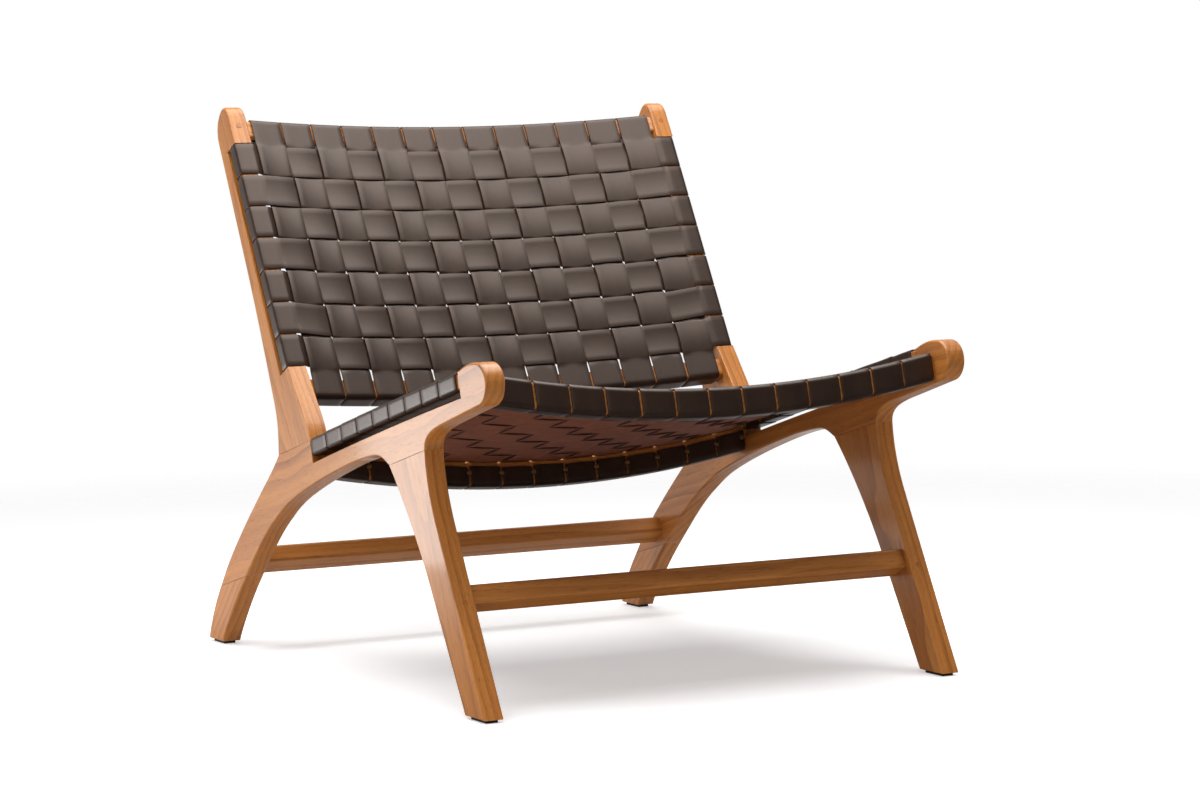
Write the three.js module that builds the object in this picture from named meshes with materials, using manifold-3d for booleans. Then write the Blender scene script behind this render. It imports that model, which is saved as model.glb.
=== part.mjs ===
// Lounge chair: a timber frame with a seat and a back woven from flat leather straps.
// Millimetres, +Z up, the chair faces -Y, and left is -X as seen from the front.

import * as THREE from 'three';
import { mergeVertices } from 'three/addons/utils/BufferGeometryUtils.js';
import Module from 'manifold-3d';

const wasm = await Module();
wasm.setup();

// Overall sizes
const WIDTH = 660; // over the two side frames
const SEAT_HEIGHT = 400; // floor to the top of the side rails, where the seat's straps begin
const SEAT_SLOPE = 14.7; // degrees that the seat falls towards the back
const SEAT_ZONE = 414; // length of side rail that the seat's cross straps cover
const SEAT_START = 9; // from the nose's notch to the first cross strap
const BACK_LEAN = 28.7; // degrees that the back leans from upright
const BACK_ZONE = 322; // length of post that the back's cross straps cover

// Side frames
const BOARD = 25.6; // thickness of posts, side rails and legs
const BAR = 15.5; // strap bar, from its strap face to the slot behind it
const SLOT = 8.5; // width of the slot that the straps go through
const RAIL_DEPTH = 48; // side rail, from its top to its underside
const NOSE = 67; // the side rail runs this far past the front of the straps
const KNEE = 110; // the post's foot on the side rail, behind the straps
const LEG_SEAM = 69.5; // the front leg is glued on this far under the rail's top
const SCARF_SEAM = 134; // the rear leg's end is glued on this far under the rail's top
const POST_SET = 48.6; // back straps begin this far behind the seat's straps, along the seat
const POST_RISE = 102.3; // and this far above them
const POST_TOP = 58; // the post runs this far past its straps

// Legs
const SEAT_FRONT = 55; // front of the seat's straps, behind the front of the front foot
const FRONT_FOOT = 48.5; // length of the front foot
const REAR_FOOT_SET = 296.5; // rear foot, behind the rear end of the seat's straps, along the floor
const REAR_FOOT = 46; // length of the rear foot
const LEG_SEAM_FRONT = 108.7; // the front leg's seam begins this far behind the front of the straps
const LEG_SEAM_REAR = 210; // and ends here
const LEG_STUB_AT = 158; // middle of its stub tenon
const POST_STUB_SET = 70; // middle of the post's stub tenon, behind the straps
const SCARF_FRONT_SET = 258; // the rear leg's seam begins this far behind the straps
const SCARF_REAR_SET = 346; // and ends here
const ARCH_FALL = 46; // degrees from upright that the rear leg's front edge has at its seam
const HEEL_FALL = 39; // and its rear edge

// Curves of the front leg, each point in front of and under an end of its seam
const LEG_FRONT_PULL = [4, 42];
const LEG_FRONT_BEND = [26.4, 84];
const LEG_REAR_PULL = [61.1, 63.2];
const LEG_REAR_BEND = [107.7, 139.1];

// Curves of the side rail, each point along the seat and under the rail
const NOSE_RADIUS = 25.5;
const NOSE_TUCK = 1.5; // underside of the nose over the rail's underside
const NOSE_TURN = 99; // degrees, where the round of the nose ends on its top
const NOSE_PULL = [-24, 9]; // from the front of the straps, and over the rail's top
const NOSE_LIP = 2.5; // top of the nose where the straps begin, over the rail's top
const CHIN = [[106, 8], [92, 3.5], [60, 1.6]]; // in front of the leg, under the underside
const FILLET = [[108, 0.8], [50, 2.5], [22, 7]]; // behind the leg's seam, under the underside
const ARCH = [[195.5, 51.8], [149.5, 32.3], [90.5, 15.6], [0, 5.3]]; // behind the straps, under the underside
const HEEL = [[137, 15.5], [196, 44.6], [254, 74.6], [308, 106.1]]; // behind the straps, under the top

// Curves of the post, each point along it and out of its front
const INSTEP = [[-83, 13.8], [-32, 5.5]]; // from the lower end of the straps
const SPINE = [[120, -52.8], [9, -60.4], [-44, -66.4]]; // the same, down its rear
const NAPE = [-61, -49]; // from the upper end of the straps
const CROWN = [[-19, -0.5], [-4, -1], [6, -10], [-2, -27], [-9, -42.5], [-30, -47]]; // from the top

// Cross rails, bowed so that seat and back are dished
const RAIL_FACE = 25; // along the straps
const SEAT_RAIL = 31; // thickness of the two seat rails
const BACK_RAIL = 25.5; // thickness of the two back rails
const RAIL_GAP = 10; // between the cross straps and a rail
const BACK_LOW_GAP = 15.5; // the same at the back's lower rail
const SEAT_SETBACK = 8; // the seat rails' ends lie this far under the strap bars
const BACK_SETBACK = 1.5; // and the back rails' ends
const SEAT_FALL = 2.5; // the seat's rear rail lies this much lower again
const SEAT_BOW = 29.5; // dip of a seat rail at its middle
const BACK_BOW = 26.5; // and of a back rail

// Stretchers
const STRETCHER_FACE = 33; // wide face
const STRETCHER_HEIGHT = 24.4; // narrow face
const FRONT_STRETCHER_AT = 132; // height over the floor
const FRONT_STRETCHER_TILT = 30; // degrees, wide face down towards the back
const REAR_STRETCHER_SET = 281; // behind the seat's straps, along the seat
const REAR_STRETCHER_DROP = 111; // under the side rail's top
const REAR_STRETCHER_TILT = 37; // degrees, the same way

// Leather straps
const STRAP = 2.2; // thickness
const STRAP_GAP = 2.2; // between neighbours
const LONG_STRAPS = 13; // straps that run from rail to rail, in each panel
const SEAT_CROSS_STRAPS = 9;
const BACK_CROSS_STRAPS = 7;
const SIDE_MARGIN = 6.5; // between a side frame and the first long strap
const RAIL_TAIL = 7.5; // bare wood over a strap's nailed end on a rail
const BAR_TAIL = 8.5; // and on a strap bar
const SEAT_LEAVE = 50; // degrees that a cross strap bends off the seat bar's inner edge
const BACK_LEAVE = 20; // and off the back's

// Joints, edges and gaps
const EASE = 4; // eased edge of rails and strap bars
const EASE_STEPS = 1; // facets on an eased edge
const CLEAR = 0.2; // between leather and what it lies on
const WEAVE_CLEAR = 0.3; // between straps that cross
const GLUE = 0.3; // glued faces
const TENON = 15; // length of a tenon into a side frame
const TENON_SHOULDER = 4; // step all round a tenon
const TENON_CLEAR = 0.2; // mortise over tenon, each side
const STUB_WIDTH = 44; // stub tenons of front leg and post
const STUB_THICK = 10;
const STUB_LENGTH = 20;
const GLIDE = 4; // height of the foot glides
const GLIDE_INSET = 5; // from the edges of the foot

// Sizes that follow from these
const OUTER = WIDTH / 2;
const INNER = OUTER - BOARD;
const REBATE = STRAP + CLEAR; // leather lies flush with the wood beside it
const STRAP_FACE = -REBATE; // height of the strap bars in a panel
const LIFT = CLEAR + STRAP / 2; // middle of a strap over what it lies on
const WEAVE = (STRAP + WEAVE_CLEAR) / 2; // how far a strap goes up or down to pass another
const LONG_PITCH = (2 * (INNER - SIDE_MARGIN) + STRAP_GAP) / LONG_STRAPS;
const LONG_WIDTH = LONG_PITCH - STRAP_GAP;
const radians = THREE.MathUtils.degToRad;
const REAR_FOOT_Y = SEAT_FRONT + SEAT_ZONE * Math.cos(radians(SEAT_SLOPE)) + REAR_FOOT_SET;
const POST_STUB_AT = SEAT_ZONE + POST_STUB_SET;
const SCARF_FRONT = SEAT_ZONE + SCARF_FRONT_SET;
const SCARF_REAR = SEAT_ZONE + SCARF_REAR_SET;
const CURVE_STEPS = 3; // straight lines for each stretch of a curved outline
const SAME_POINT = 0.05; // corners of an outline nearer than this are one
const SIDES = { left: -1, right: 1 };

// Finishes
const timber = () => new THREE.MeshStandardMaterial({ color: 0xb9783f, roughness: 0.5, metalness: 0 });
const leather = () => new THREE.MeshStandardMaterial({ color: 0x463a34, roughness: 0.55, metalness: 0 });
const rubber = () => new THREE.MeshStandardMaterial({ color: 0x1b1a19, roughness: 0.8, metalness: 0 });

// The chair, with one turned group for each panel. In a panel x runs across the chair, y along the long
// straps and z out of the panel, from the line that the side frame's wood and the leather share.
const chair = new THREE.Group();
const seat = new THREE.Group();
seat.position.set(0, SEAT_FRONT, SEAT_HEIGHT);
seat.rotation.x = -radians(SEAT_SLOPE);
chair.add(seat);
seat.updateWorldMatrix(true, false);

const back = new THREE.Group();
back.position.copy(seat.localToWorld(new THREE.Vector3(0, SEAT_ZONE + POST_SET, POST_RISE)));
back.rotation.x = radians(90 - BACK_LEAN);
chair.add(back);
back.updateWorldMatrix(true, false);

// A point of the floor's profile, or of another panel, as a point of this panel's outlines.
function floorPoint(panel, y, z) {
  const p = panel.worldToLocal(new THREE.Vector3(0, y, z));
  return new THREE.Vector2(p.y, p.z);
}

function seatPoint(panel, y, z) {
  const p = seat.localToWorld(new THREE.Vector3(0, y, z));
  return floorPoint(panel, p.y, p.z);
}

function addPiece(group, name, geometry, material) {
  const mesh = new THREE.Mesh(geometry, material);
  mesh.name = name;
  group.add(mesh);
}

// Solids that are joined and cut
function toSolid(geometry) {
  const bare = geometry.clone();
  bare.deleteAttribute('normal');
  bare.deleteAttribute('uv');
  const merged = mergeVertices(bare);
  return new wasm.Manifold(new wasm.Mesh({
    numProp: 3,
    vertProperties: new Float32Array(merged.attributes.position.array),
    triVerts: new Uint32Array(merged.index.array),
  }));
}

function toGeometry(solid) {
  const mesh = solid.getMesh();
  const geometry = new THREE.BufferGeometry();
  geometry.setAttribute('position', new THREE.BufferAttribute(mesh.vertProperties, 3));
  geometry.setIndex(new THREE.BufferAttribute(mesh.triVerts, 1));
  geometry.computeVertexNormals();
  return geometry;
}

// The outline as plain corners, without the doubled ones where two curves meet.
function corners(shape) {
  const points = shape.getPoints(CURVE_STEPS);
  return points.filter((p, k) => p.distanceTo(points[(k + 1) % points.length]) > SAME_POINT);
}

// An outline drawn in a panel's y and z, as thick as from x0 to x1.
function slab(shape, x0, x1) {
  const options = { depth: x1 - x0, bevelEnabled: false };
  const geometry = new THREE.ExtrudeGeometry(new THREE.Shape(corners(shape)), options);
  const turn = new THREE.Matrix4().makeBasis(
    new THREE.Vector3(0, 1, 0), new THREE.Vector3(0, 0, 1), new THREE.Vector3(1, 0, 0));
  geometry.applyMatrix4(turn);
  geometry.translate(x0, 0, 0);
  return geometry;
}

function box(x, y, z) {
  const geometry = new THREE.BoxGeometry(x[1] - x[0], y[1] - y[0], z[1] - z[0]);
  geometry.translate((x[0] + x[1]) / 2, (y[0] + y[1]) / 2, (z[0] + z[1]) / 2);
  return geometry;
}

// The range from a to b on one side of the chair, in rising order.
function sideRange(side, a, b) {
  return [side * a, side * b].sort((p, q) => p - q);
}

// A closed skin over rings of points, each ring the same count, with flat ends.
function skin(rings) {
  const count = rings[0].length;
  const points = rings.flat();
  const index = [];
  for (let r = 0; r + 1 < rings.length; r += 1) {
    for (let k = 0; k < count; k += 1) {
      const a = r * count + k;
      const b = r * count + (k + 1) % count;
      index.push(a, b, b + count, a, b + count, a + count);
    }
  }
  const last = (rings.length - 1) * count;
  for (let k = 1; k + 1 < count; k += 1) {
    index.push(0, k + 1, k, last, last + k, last + k + 1);
  }
  let volume = 0;
  for (let t = 0; t < index.length; t += 3) {
    const [a, b, c] = [0, 1, 2].map((k) => points[index[t + k]]);
    volume += a.dot(new THREE.Vector3().crossVectors(b, c));
  }
  const geometry = new THREE.BufferGeometry().setFromPoints(points);
  geometry.setIndex(volume > 0 ? index : index.reverse());
  geometry.computeVertexNormals();
  return geometry;
}

// Long straps lie flat, each on its own facet of the bowed rails.
function longStrapX(i) {
  return (i - (LONG_STRAPS - 1) / 2) * LONG_PITCH;
}

function facet(plan, i, x) {
  const middle = longStrapX(i);
  const rise = (2 * middle * x - middle * middle) / (INNER * INNER);
  return STRAP_FACE - plan.setback - plan.bow * (1 - rise);
}

// The two panels: where their rails lie, how their cross straps divide the zone, and how far the weave has
// dropped at a y.
function panelPlan(plan) {
  const pitch = plan.zone / plan.crossStraps;
  return {
    ...plan,
    crossWidth: pitch - STRAP_GAP,
    crossMiddle: (j) => plan.start + (j + 0.5) * pitch,
    lowRail: -plan.lowGap,
    highRail: plan.zone + RAIL_GAP,
    drop: (y) => plan.fall * THREE.MathUtils.clamp(y / plan.zone, 0, 1),
  };
}

const seatPlan = panelPlan({
  zone: SEAT_ZONE,
  start: SEAT_START,
  crossStraps: SEAT_CROSS_STRAPS,
  railDepth: SEAT_RAIL,
  bow: SEAT_BOW,
  setback: SEAT_SETBACK,
  fall: SEAT_FALL,
  lowGap: RAIL_GAP,
  leave: SEAT_LEAVE,
});
const backPlan = panelPlan({
  zone: BACK_ZONE,
  start: 0,
  crossStraps: BACK_CROSS_STRAPS,
  railDepth: BACK_RAIL,
  bow: BACK_BOW,
  setback: BACK_SETBACK,
  fall: 0,
  lowGap: BACK_LOW_GAP,
  leave: BACK_LEAVE,
});

// Cross rails
// A rail's end: its lowest and highest y and z.
function railSection(plan, inner, outward) {
  const top = facet(plan, 0, -INNER) - plan.drop(inner);
  return {
    y: [inner, inner + outward * RAIL_FACE].sort((p, q) => p - q),
    z: [top - plan.railDepth, top],
  };
}

function shrink(section, step) {
  return {
    y: [section.y[0] + step, section.y[1] - step],
    z: [section.z[0] + step, section.z[1] - step],
  };
}

// Outline of an eased rectangle, as points in y and z.
function easedRing(section) {
  const corners = [[1, 1, 0], [0, 1, 90], [0, 0, 180], [1, 0, 270]];
  const points = [];
  for (const [iy, iz, start] of corners) {
    const y = section.y[iy] + (iy ? -EASE : EASE);
    const z = section.z[iz] + (iz ? -EASE : EASE);
    for (let k = 0; k <= EASE_STEPS; k += 1) {
      const angle = radians(start + 90 * k / EASE_STEPS);
      points.push([y + EASE * Math.cos(angle), z + EASE * Math.sin(angle)]);
    }
  }
  return points;
}

function crossRail(plan, inner, outward) {
  const end = INNER - GLUE;
  const section = railSection(plan, inner, outward);
  const stations = [[-end, 0]];
  for (let i = 1; i < LONG_STRAPS; i += 1) {
    stations.push([longStrapX(i) - LONG_PITCH / 2, i]);
  }
  stations.push([end, LONG_STRAPS - 1]);
  const ring = easedRing(section);
  const rings = stations.map(([x, i]) => {
    const dip = facet(plan, i, x) - facet(plan, 0, -INNER);
    return ring.map(([y, z]) => new THREE.Vector3(x, y, z + dip));
  });
  let solid = toSolid(skin(rings));
  const tenon = shrink(section, TENON_SHOULDER);
  for (const side of Object.values(SIDES)) {
    solid = solid.add(toSolid(box(sideRange(side, end - EASE, INNER + TENON), tenon.y, tenon.z)));
  }
  return toGeometry(solid);
}

addPiece(seat, 'seat_front_rail', crossRail(seatPlan, seatPlan.lowRail, -1), timber());
addPiece(seat, 'seat_rear_rail', crossRail(seatPlan, seatPlan.highRail, 1), timber());
addPiece(back, 'back_lower_rail', crossRail(backPlan, backPlan.lowRail, -1), timber());
addPiece(back, 'back_top_rail', crossRail(backPlan, backPlan.highRail, 1), timber());

// Mortises that take a panel's two rails, on one side of the chair
function railMortises(plan, side) {
  const rails = [[plan.lowRail, -1], [plan.highRail, 1]];
  return rails.map(([inner, outward]) => {
    const hole = shrink(railSection(plan, inner, outward), TENON_SHOULDER - TENON_CLEAR);
    return toSolid(box(sideRange(side, INNER - GLUE, INNER + TENON + GLUE), hole.y, hole.z));
  });
}

// A strap bar stands in a notch of the side frame, with the slot behind it. It runs into the wood at both
// ends, and its outer face is set in, so that the leather round it lies flush.
const NOTCH = STRAP_FACE - BAR - SLOT;

function strapBar(plan, side) {
  const ring = easedRing({ y: sideRange(side, INNER, OUTER - REBATE), z: [STRAP_FACE - BAR, STRAP_FACE] });
  const ends = [-EASE, plan.start + plan.zone + EASE];
  return toSolid(skin(ends.map((y) => ring.map(([x, z]) => new THREE.Vector3(x, y, z)))));
}

// Stretchers: a box with eased edges and a tenon at each end
const stretcherSection = {
  y: [-STRETCHER_FACE / 2, STRETCHER_FACE / 2],
  z: [-STRETCHER_HEIGHT / 2, STRETCHER_HEIGHT / 2],
};

function stretcherSolid() {
  const end = INNER - GLUE;
  const ring = easedRing(stretcherSection);
  const rings = [-end, end].map((x) => ring.map(([y, z]) => new THREE.Vector3(x, y, z)));
  const tenon = shrink(stretcherSection, TENON_SHOULDER);
  const core = box([-INNER - TENON, INNER + TENON], tenon.y, tenon.z);
  return toGeometry(toSolid(skin(rings)).add(toSolid(core)));
}

function stretcherMortise(side, y, z, tilt) {
  const hole = shrink(stretcherSection, TENON_SHOULDER - TENON_CLEAR);
  const geometry = box(sideRange(side, INNER - GLUE, INNER + TENON + GLUE), hole.y, hole.z);
  geometry.rotateX(tilt);
  geometry.translate(0, y, z);
  return toSolid(geometry);
}

// A stub tenon stands on a seam, in y and z of the seat. Its mortise is a little larger.
function stub(side, y, seam, direction, clear) {
  const middle = side * (INNER + BOARD / 2);
  const half = STUB_THICK / 2 + clear;
  const z = [seam - direction * STUB_THICK, seam + direction * (STUB_LENGTH + 2 * clear)];
  const span = [y - STUB_WIDTH / 2 - clear, y + STUB_WIDTH / 2 + clear];
  return toSolid(box([middle - half, middle + half], span, z.sort((p, q) => p - q)));
}

// Front legs: straight edges up from the foot, then two curves that open into the side rail
const legSeamFront = seatPoint(chair, LEG_SEAM_FRONT, -LEG_SEAM - GLUE);
const legSeamRear = seatPoint(chair, LEG_SEAM_REAR, -LEG_SEAM - GLUE);
const under = (seamEnd, [forward, down]) => new THREE.Vector2(seamEnd.x - forward, seamEnd.y - down);
const legFrontBend = under(legSeamFront, LEG_FRONT_BEND);
const legRearBend = under(legSeamRear, LEG_REAR_BEND);

function frontLegShape() {
  const frontPull = under(legSeamFront, LEG_FRONT_PULL);
  const rearPull = under(legSeamRear, LEG_REAR_PULL);
  const shape = new THREE.Shape();
  shape.moveTo(0, GLIDE);
  shape.lineTo(legFrontBend.x, legFrontBend.y);
  shape.quadraticCurveTo(frontPull.x, frontPull.y, legSeamFront.x, legSeamFront.y);
  shape.lineTo(legSeamRear.x, legSeamRear.y);
  shape.quadraticCurveTo(rearPull.x, rearPull.y, legRearBend.x, legRearBend.y);
  shape.lineTo(FRONT_FOOT, GLIDE);
  shape.closePath();
  return shape;
}

// Middle of the front leg at the front stretcher's height
function frontStretcherY() {
  const up = FRONT_STRETCHER_AT - GLIDE;
  const front = legFrontBend.x * up / (legFrontBend.y - GLIDE);
  const rear = FRONT_FOOT + (legRearBend.x - FRONT_FOOT) * up / (legRearBend.y - GLIDE);
  return (front + rear) / 2;
}

const frontTilt = -radians(FRONT_STRETCHER_TILT);
const rearTilt = radians(SEAT_SLOPE - REAR_STRETCHER_TILT);
const rearStretcherAt = [SEAT_ZONE + REAR_STRETCHER_SET, -REAR_STRETCHER_DROP];

function frontLeg(side) {
  const x = sideRange(side, INNER, OUTER);
  const shank = toSolid(slab(frontLegShape(), x[0], x[1]));
  const tongue = stub(side, LEG_STUB_AT, -LEG_SEAM - GLUE, 1, 0).transform([...seat.matrixWorld.elements]);
  const mortise = stretcherMortise(side, frontStretcherY(), FRONT_STRETCHER_AT, frontTilt);
  return toGeometry(shank.add(tongue).subtract(mortise));
}

function placedStretcher(y, z, tilt) {
  const geometry = stretcherSolid();
  geometry.rotateX(tilt);
  geometry.translate(0, y, z);
  return geometry;
}

const frontStretcherAt = [frontStretcherY(), FRONT_STRETCHER_AT];
addPiece(chair, 'front_stretcher', placedStretcher(...frontStretcherAt, frontTilt), timber());
addPiece(seat, 'rear_stretcher', placedStretcher(...rearStretcherAt, rearTilt), timber());

// Side rails: nose, strap bar, slot and knee, and the rear leg as far as its glued end
// Points of an outline, measured from a y and under a z.
function below(points, y, z) {
  return points.map(([along, down]) => new THREE.Vector2(y + along, z - down));
}

function sideRailShape() {
  const zone = SEAT_ZONE;
  const nose = new THREE.Vector2(NOSE_RADIUS - NOSE, NOSE_RADIUS + NOSE_TUCK - RAIL_DEPTH);
  const [chinPull, cheekPull, chin] = below(CHIN, 0, -RAIL_DEPTH);
  const shape = new THREE.Shape();
  shape.moveTo(LEG_SEAM_FRONT, -LEG_SEAM);
  shape.bezierCurveTo(chinPull.x, chinPull.y, cheekPull.x, cheekPull.y, chin.x, chin.y);
  shape.lineTo(nose.x, nose.y - NOSE_RADIUS);
  shape.absarc(nose.x, nose.y, NOSE_RADIUS, -radians(90), radians(NOSE_TURN), true);
  shape.quadraticCurveTo(NOSE_PULL[0], NOSE_PULL[1], 0, NOSE_LIP);
  shape.lineTo(0, NOTCH);
  shape.lineTo(SEAT_START + zone, NOTCH);
  shape.lineTo(SEAT_START + zone, 0);
  shape.lineTo(zone + KNEE, 0);
  shape.splineThru([...below(HEEL, zone, 0), new THREE.Vector2(SCARF_REAR, -SCARF_SEAM)]);
  shape.lineTo(SCARF_FRONT, -SCARF_SEAM);
  shape.splineThru([
    ...below(ARCH, zone, -RAIL_DEPTH),
    ...below(FILLET, LEG_SEAM_REAR, -RAIL_DEPTH),
    new THREE.Vector2(LEG_SEAM_REAR, -LEG_SEAM),
  ]);
  shape.closePath();
  return shape;
}

function sideRail(side) {
  const x = sideRange(side, INNER, OUTER);
  let solid = toSolid(slab(sideRailShape(), x[0], x[1])).add(strapBar(seatPlan, side));
  for (const mortise of railMortises(seatPlan, side)) {
    solid = solid.subtract(mortise);
  }
  solid = solid.subtract(stretcherMortise(side, ...rearStretcherAt, rearTilt));
  solid = solid.subtract(stub(side, LEG_STUB_AT, -LEG_SEAM - GLUE, 1, TENON_CLEAR));
  solid = solid.subtract(stub(side, POST_STUB_AT, GLUE, -1, TENON_CLEAR));
  return toGeometry(solid);
}

// Rear leg ends: two edges that steepen down to the foot
const scarfFront = seatPoint(chair, SCARF_FRONT, -SCARF_SEAM - GLUE);
const scarfRear = seatPoint(chair, SCARF_REAR, -SCARF_SEAM - GLUE);

// A curve's pull point, half way down to the foot along the slope at its upper end.
function halfWayDown(top, fall) {
  const drop = (top.y - GLIDE) / 2;
  return [top.x + drop * Math.tan(radians(fall)), top.y - drop];
}

function rearLegShape() {
  const shape = new THREE.Shape();
  shape.moveTo(scarfFront.x, scarfFront.y);
  shape.quadraticCurveTo(...halfWayDown(scarfFront, ARCH_FALL), REAR_FOOT_Y, GLIDE);
  shape.lineTo(REAR_FOOT_Y + REAR_FOOT, GLIDE);
  const pull = halfWayDown(scarfRear, HEEL_FALL);
  shape.quadraticCurveTo(...pull, scarfRear.x, scarfRear.y);
  shape.closePath();
  return shape;
}

// Back posts: they stand on the side rail's knee and carry the back's strap bar
// Points of an outline, measured from a y and out of the post's front.
function along(points, y) {
  return points.map(([up, out]) => new THREE.Vector2(y + up, out));
}

function postShape() {
  const zone = BACK_ZONE;
  const toe = seatPoint(back, SEAT_START + SEAT_ZONE + GLUE, GLUE);
  const heel = seatPoint(back, SEAT_ZONE + KNEE, GLUE);
  const [brow, browPull, crownPull, crown, napePull, nape] = along(CROWN, zone + POST_TOP);
  const shape = new THREE.Shape();
  shape.moveTo(toe.x, toe.y);
  shape.splineThru([...along(INSTEP, 0), new THREE.Vector2(0, 0)]);
  shape.lineTo(0, NOTCH);
  shape.lineTo(zone, NOTCH);
  shape.lineTo(zone, 0);
  shape.lineTo(brow.x, brow.y);
  shape.bezierCurveTo(browPull.x, browPull.y, crownPull.x, crownPull.y, crown.x, crown.y);
  shape.quadraticCurveTo(napePull.x, napePull.y, nape.x, nape.y);
  shape.splineThru([...along([NAPE], zone), ...along(SPINE, 0), heel]);
  shape.closePath();
  return shape;
}

function backPost(side) {
  const x = sideRange(side, INNER, OUTER);
  let solid = toSolid(slab(postShape(), x[0], x[1])).add(strapBar(backPlan, side));
  for (const mortise of railMortises(backPlan, side)) {
    solid = solid.subtract(mortise);
  }
  const toBack = new THREE.Matrix4().copy(back.matrixWorld).invert().multiply(seat.matrixWorld);
  const tongue = stub(side, POST_STUB_AT, GLUE, -1, 0).transform([...toBack.elements]);
  return toGeometry(solid.add(tongue));
}

// Foot glides
function glide(side, y0, y1) {
  const x = sideRange(side, INNER + GLIDE_INSET, OUTER - GLIDE_INSET);
  return box(x, [y0 + GLIDE_INSET, y1 - GLIDE_INSET], [0, GLIDE - GLUE]);
}

for (const [name, side] of Object.entries(SIDES)) {
  const x = sideRange(side, INNER, OUTER);
  addPiece(chair, `front_leg_${name}`, frontLeg(side), timber());
  addPiece(seat, `side_rail_${name}`, sideRail(side), timber());
  addPiece(chair, `rear_leg_${name}`, slab(rearLegShape(), x[0], x[1]), timber());
  addPiece(back, `back_post_${name}`, backPost(side), timber());
  addPiece(chair, `foot_glide_front_${name}`, glide(side, 0, FRONT_FOOT), rubber());
  addPiece(chair, `foot_glide_rear_${name}`, glide(side, REAR_FOOT_Y, REAR_FOOT_Y + REAR_FOOT), rubber());
}

// Straps
// A strap's middle line round a bar, from its nailed end on the bar's inner face, round the far side, to
// the strap face. q runs outwards from the inner face and n up from the strap face, and dq and dn point
// out of the bar.
function wrap(length, depth, tail, leave) {
  const stations = [];
  const add = (q, n, angle) => stations.push({ q, n, dq: Math.cos(angle), dn: Math.sin(angle) });
  const corner = (q, n, start) => {
    for (let k = 0; k <= EASE_STEPS; k += 1) {
      const angle = radians(start + 90 * k / EASE_STEPS);
      add(q + (EASE + LIFT) * Math.cos(angle), n + (EASE + LIFT) * Math.sin(angle), angle);
    }
  };
  add(-LIFT, -tail, Math.PI);
  corner(EASE, EASE - depth, 180);
  corner(length - EASE, EASE - depth, 270);
  corner(length - EASE, -EASE, 0);
  add(EASE, LIFT, Math.PI / 2);
  if (leave) {
    const angle = radians(90 + leave);
    add(EASE + (EASE + LIFT) * Math.cos(angle), -EASE + (EASE + LIFT) * Math.sin(angle), angle);
  }
  return stations;
}

// A whole strap's stations: round the low bar, over and under what it crosses, round the high bar.
function strapLine(low, high, crossings, bar) {
  const round = (inner, outward) => wrap(bar.length, bar.depth, bar.tail, bar.leave).map((s) => (
    { a: inner + outward * s.q, n: s.n + bar.face, da: outward * s.dq, dn: s.dn }));
  return [...round(low, -1), ...crossings, ...round(high, 1).reverse()];
}

// The strap's solid: four corners at each station, its two edges e away from its middle.
function ribbon(stations, width, place) {
  const rings = stations.map((s) => {
    const corner = (edge, up) => (
      place(s.a + up * s.da * STRAP / 2, s.n + up * s.dn * STRAP / 2, edge * width / 2, s.woven));
    return [corner(-1, -1), corner(1, -1), corner(1, 1), corner(-1, 1)];
  });
  return skin(rings);
}

// Long straps pass over the cross straps of their own parity and under the others.
const isOver = (i, j) => (i + j) % 2 === 0;

function longStrap(plan, i) {
  const crossings = [];
  for (let j = 0; j < plan.crossStraps; j += 1) {
    const n = LIFT + (isOver(i, j) ? WEAVE : -WEAVE);
    for (const edge of [-1, 1]) {
      crossings.push({ a: plan.crossMiddle(j) + edge * plan.crossWidth / 2, n, da: 0, dn: 1 });
    }
  }
  const bar = { length: RAIL_FACE, depth: plan.railDepth, tail: RAIL_TAIL, leave: 0, face: 0 };
  const stations = strapLine(plan.lowRail, plan.highRail, crossings, bar);
  const middle = longStrapX(i);
  return ribbon(stations, LONG_WIDTH, (a, n, edge) => (
    new THREE.Vector3(middle + edge, a, n + facet(plan, i, middle + edge) - plan.drop(a))));
}

function crossStrap(plan, j) {
  const crossings = [];
  for (let i = 0; i < LONG_STRAPS; i += 1) {
    const rise = LIFT + (isOver(i, j) ? -WEAVE : WEAVE);
    for (const edge of [-1, 1]) {
      const a = longStrapX(i) + edge * LONG_WIDTH / 2;
      crossings.push({ a, n: facet(plan, i, a) + rise, da: 0, dn: 1, woven: true });
    }
  }
  const bar = { length: BOARD - REBATE, depth: BAR, tail: BAR_TAIL, leave: plan.leave, face: STRAP_FACE };
  const stations = strapLine(-INNER, INNER, crossings, bar);
  return ribbon(stations, plan.crossWidth, (a, n, edge, woven) => {
    const y = plan.crossMiddle(j) + edge;
    return new THREE.Vector3(a, y, woven ? n - plan.drop(y) : n);
  });
}

const twoDigits = (k) => String(k + 1).padStart(2, '0');

for (let i = 0; i < LONG_STRAPS; i += 1) {
  addPiece(seat, `seat_long_strap_${twoDigits(i)}`, longStrap(seatPlan, i), leather());
  addPiece(back, `back_upright_strap_${twoDigits(i)}`, longStrap(backPlan, i), leather());
}
for (let j = 0; j < SEAT_CROSS_STRAPS; j += 1) {
  addPiece(seat, `seat_cross_strap_${j + 1}`, crossStrap(seatPlan, j), leather());
}
for (let j = 0; j < BACK_CROSS_STRAPS; j += 1) {
  addPiece(back, `back_cross_strap_${j + 1}`, crossStrap(backPlan, j), leather());
}

// The origin is on the floor, under the middle of the chair.
const extent = new THREE.Box3().setFromObject(chair, true);
chair.position.y = -(extent.min.y + extent.max.y) / 2;

export default chair;
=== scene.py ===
# %% [markdown]
# # A lounge chair woven from leather straps
# The chair is a teak frame with two woven panels. Each strap is wrapped round a bar at both ends and held there
# by small domed nails. The frame that is loaded first gives every piece its place, so nothing is fitted by eye:
# each visible piece is built where the plain solid of the same name lies, and then stands for it.

# %% Load the frame
import math

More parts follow.
